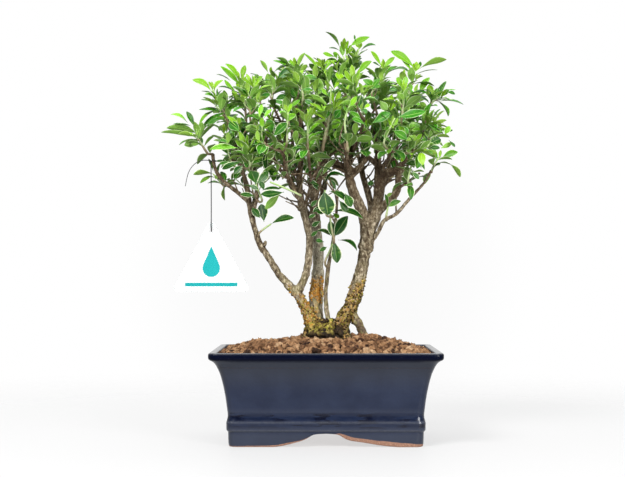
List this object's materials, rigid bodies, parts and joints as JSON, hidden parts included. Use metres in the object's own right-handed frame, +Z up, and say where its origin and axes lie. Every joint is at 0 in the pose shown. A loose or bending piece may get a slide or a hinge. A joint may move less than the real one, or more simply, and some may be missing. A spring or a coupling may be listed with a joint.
{
  "type": "serissa bonsai",
  "caption": "Three-trunked serissa bonsai with green, white-edged leaves in a navy glazed rectangular pot with grit, moss and a plain hang tag on a wire.",
  "frame": {"origin": "centre of the box around pot and tree, without the tag and its wire, at the height of the feet's underside", "axes": "+X to the right in the picture's view, +Y away from the viewer, +Z up"},
  "size_m": [0.283, 0.1726, 0.378],
  "materials": {
    "pot": "gloss glaze, bare clay at the feet",
    "drainage_mesh": "moulded",
    "soil": "rough",
    "grit": "rough",
    "moss": "soft",
    "bark": "rough bark",
    "leaves": "satin leaf",
    "tag": "satin",
    "wire": "satin black"
  },
  "bodies": {
    "root": {"pot": "pot", "drainage_mesh_left": "drainage_mesh", "drainage_mesh_right": "drainage_mesh", "soil": "soil", "grit": "grit", "moss": "moss", "trunk_and_branches": "bark", "tag": "tag", "tag_wire": "wire", "shoot_01": "leaves", "shoot_02": "leaves", "shoot_03": "leaves", "shoot_04": "leaves", "shoot_05": "leaves", "shoot_06": "leaves", "shoot_07": "leaves", "shoot_08": "leaves", "shoot_09": "leaves", "shoot_10": "leaves", "shoot_11": "leaves", "shoot_12": "leaves", "shoot_13": "leaves", "shoot_14": "leaves", "shoot_15": "leaves", "shoot_16": "leaves", "shoot_17": "leaves", "shoot_18": "leaves", "shoot_19": "leaves", "shoot_20": "leaves", "shoot_21": "leaves", "shoot_22": "leaves", "shoot_23": "leaves", "shoot_24": "leaves", "shoot_25": "leaves", "shoot_26": "leaves", "shoot_27": "leaves", "shoot_28": "leaves", "shoot_29": "leaves", "shoot_30": "leaves", "shoot_31": "leaves", "shoot_32": "leaves", "shoot_33": "leaves", "shoot_34": "leaves", "shoot_35": "leaves", "shoot_36": "leaves", "shoot_37": "leaves", "shoot_38": "leaves", "shoot_39": "leaves", "shoot_40": "leaves", "shoot_41": "leaves", "shoot_42": "leaves", "shoot_43": "leaves", "shoot_44": "leaves", "shoot_45": "leaves", "shoot_46": "leaves", "shoot_47": "leaves", "shoot_48": "leaves", "shoot_49": "leaves"}
  },
  "joints": []
}
